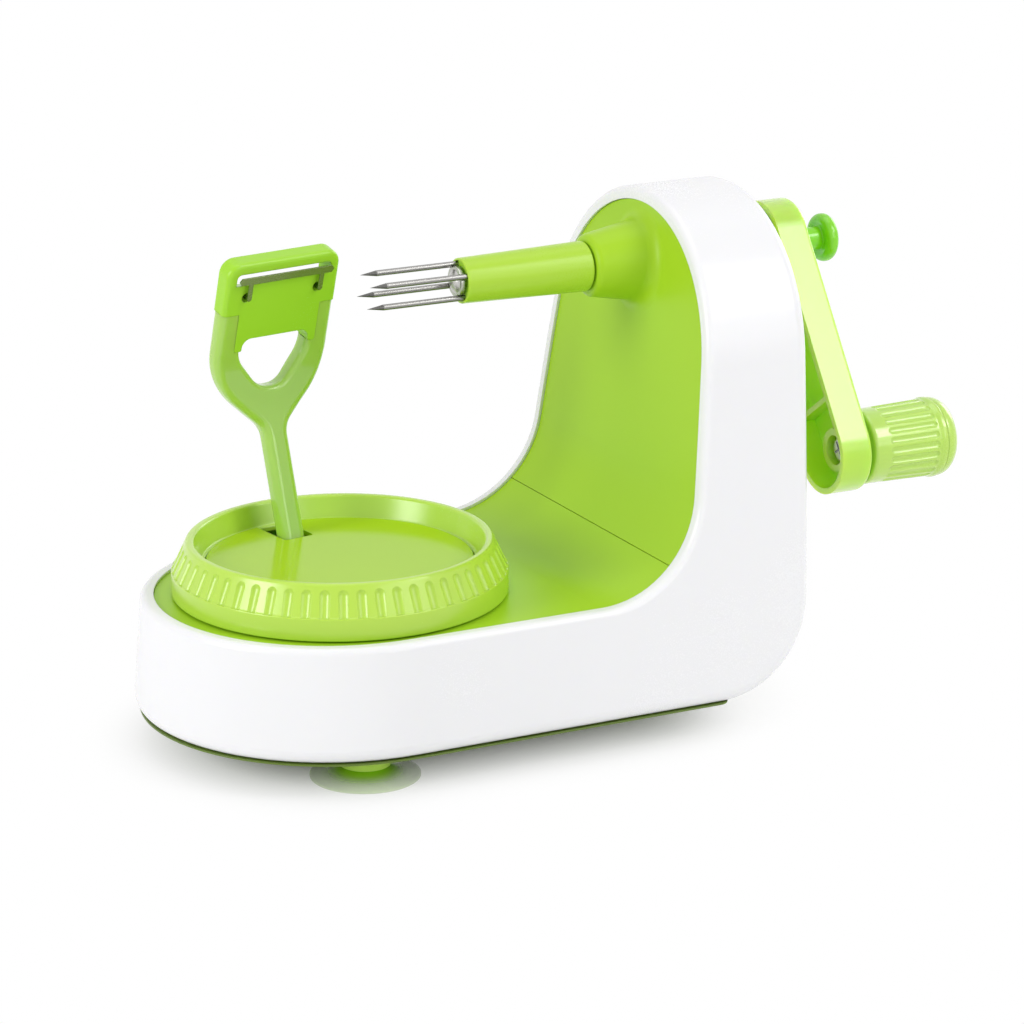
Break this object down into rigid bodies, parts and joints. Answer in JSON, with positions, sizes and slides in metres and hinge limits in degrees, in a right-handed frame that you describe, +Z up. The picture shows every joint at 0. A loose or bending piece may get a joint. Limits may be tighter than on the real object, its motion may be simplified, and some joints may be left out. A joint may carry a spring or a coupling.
{
  "type": "apple peeler",
  "caption": "Hand cranked apple peeler: L-shaped housing on suction cups, crank-driven fork with ejector, geared turntable and a hinged arm with a peeling blade.",
  "frame": {"origin": "middle of the bounding box, on the table under the suction cups", "axes": "+X from the turntable to the crank, +Y to the side where the peeler arm stands, +Z up"},
  "size_m": [0.2455, 0.1176, 0.1552],
  "materials": {
    "white_plastic": "smooth gloss white",
    "green_plastic": "smooth gloss apple green",
    "green_deep": "smooth gloss green, a little deeper",
    "green_milky": "slightly milky green",
    "cup_rubber": "soft translucent green",
    "steel": "bright steel",
    "screw_steel": "plated steel",
    "gear_plastic": "natural white",
    "brass": "plain brass"
  },
  "bodies": {
    "housing": {"housing_shell": "white_plastic", "column_cover": "green_plastic", "base_cover": "green_plastic", "bottom_plate": "green_deep", "suction_cup_left": "cup_rubber", "suction_cup_right": "cup_rubber", "suction_cup_rear": "cup_rubber", "base_screws": "screw_steel", "front_bush": "brass", "rear_bush": "brass", "turntable_pin": "steel", "turntable_thrust_washer": "gear_plastic", "turntable_washer": "steel", "turntable_screw": "screw_steel", "idler_pin": "steel", "idler_thrust_washer": "gear_plastic", "idler_retaining_ring": "steel"},
    "turntable": {"turntable_gear": "gear_plastic", "turntable_dish": "green_plastic", "turntable_disc": "green_plastic", "dish_screws": "screw_steel", "arm_pin": "steel"},
    "arm": {"peeler_arm": "green_milky", "peeler_head": "green_deep", "arm_spring": "steel"},
    "blade": {"peeling_blade": "steel"},
    "crank": {"main_shaft": "steel", "worm": "brass", "shaft_collar": "brass", "fork_tube": "green_deep", "pin_holder": "green_plastic", "fork_pins": "steel", "ejector_spring": "steel", "crank_arm": "green_plastic", "set_screw": "screw_steel", "grip_core": "green_plastic", "grip_screw": "screw_steel"},
    "ejector": {"ejector_rod": "steel", "ejector_head": "steel", "ejector_knob": "green_deep"},
    "grip": {"grip_sleeve": "green_plastic", "grip_cap": "green_plastic"},
    "cross_shaft": {"vertical_shaft": "steel", "worm_wheel": "gear_plastic", "shaft_pinion": "gear_plastic"},
    "idler": {"idler_gear": "gear_plastic"}
  },
  "joints": [
    {"name": "crank_spin", "type": "hinge", "parent": "housing", "child": "crank", "pos_m": [0.0519, 0, 0.1335], "axis": [1, 0, 0], "range_deg": [-4410, 1890]},
    {"name": "ejector_push", "type": "slide", "parent": "crank", "child": "ejector", "axis": [-1, 0, 0], "range_m": [0, 0.009], "stiffness_N_per_m": 180, "springref_m": -0.004, "deforming": ["ejector_spring"]},
    {"name": "grip_spin", "type": "hinge", "parent": "crank", "child": "grip", "pos_m": [0.0928, -0.039, 0.0778], "axis": [1, 0, 0], "continuous": true},
    {"name": "cross_shaft_spin", "type": "hinge", "parent": "housing", "child": "cross_shaft", "pos_m": [0.0519, 0.0154, 0.0298], "axis": [0, 0, 1], "range_deg": [-237, 552]},
    {"name": "idler_spin", "type": "hinge", "parent": "housing", "child": "idler", "pos_m": [0.01146, 0.00232, 0.0298], "axis": [0, 0, 1], "range_deg": [-119, 51]},
    {"name": "turntable_spin", "type": "hinge", "parent": "housing", "child": "turntable", "pos_m": [-0.061, 0, 0.0298], "axis": [0, 0, 1], "range_deg": [-48, 111]},
    {"name": "arm_swing", "type": "hinge", "parent": "turntable", "child": "arm", "pos_m": [-0.06491, 0.0255, 0.0496], "axis": [-0.9885, -0.1513, 0], "range_deg": [0, 20], "stiffness_Nm_per_rad": 0.4, "springref_deg": -17.19, "deforming": ["arm_spring"]},
    {"name": "blade_swivel", "type": "hinge", "parent": "arm", "child": "blade", "pos_m": [-0.06544, 0.02898, 0.12874], "axis": [0.9885, 0.1513, 0], "range_deg": [-7, 7]}
  ],
  "couplings": [
    {"joint": "cross_shaft_spin", "follows": "crank_spin", "ratio": -0.125},
    {"joint": "idler_spin", "follows": "crank_spin", "ratio": 0.026786},
    {"joint": "turntable_spin", "follows": "crank_spin", "ratio": -0.025}
  ]
}
